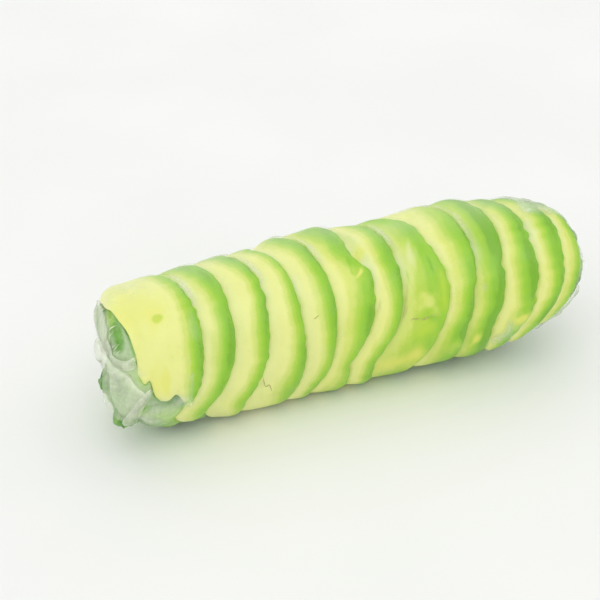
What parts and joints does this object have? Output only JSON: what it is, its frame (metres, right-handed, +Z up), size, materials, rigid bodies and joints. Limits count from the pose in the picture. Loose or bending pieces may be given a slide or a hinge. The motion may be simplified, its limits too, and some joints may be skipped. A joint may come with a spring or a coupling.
{
  "type": "rice paper roll",
  "caption": "Long fresh spring roll: avocado slices shingled over lettuce and rice noodles, wrapped in clear rice paper.",
  "frame": {"origin": "middle of the base that the roll rests on", "axes": "+X along the roll towards its closed, rounder end, -Y towards the shown side, +Z up"},
  "size_m": [0.1636, 0.0548, 0.052],
  "materials": {
    "rice_paper": null,
    "avocado": null,
    "lettuce": null,
    "rice_noodles": null
  },
  "bodies": {
    "root": {"rice_paper": "rice_paper", "lettuce": "lettuce", "rice_noodles": "rice_noodles", "avocado_01": "avocado", "avocado_02": "avocado", "avocado_03": "avocado", "avocado_04": "avocado", "avocado_05": "avocado", "avocado_06": "avocado", "avocado_07": "avocado", "avocado_08": "avocado", "avocado_09": "avocado", "avocado_10": "avocado", "avocado_11": "avocado", "avocado_12": "avocado", "avocado_13": "avocado"}
  },
  "joints": []
}
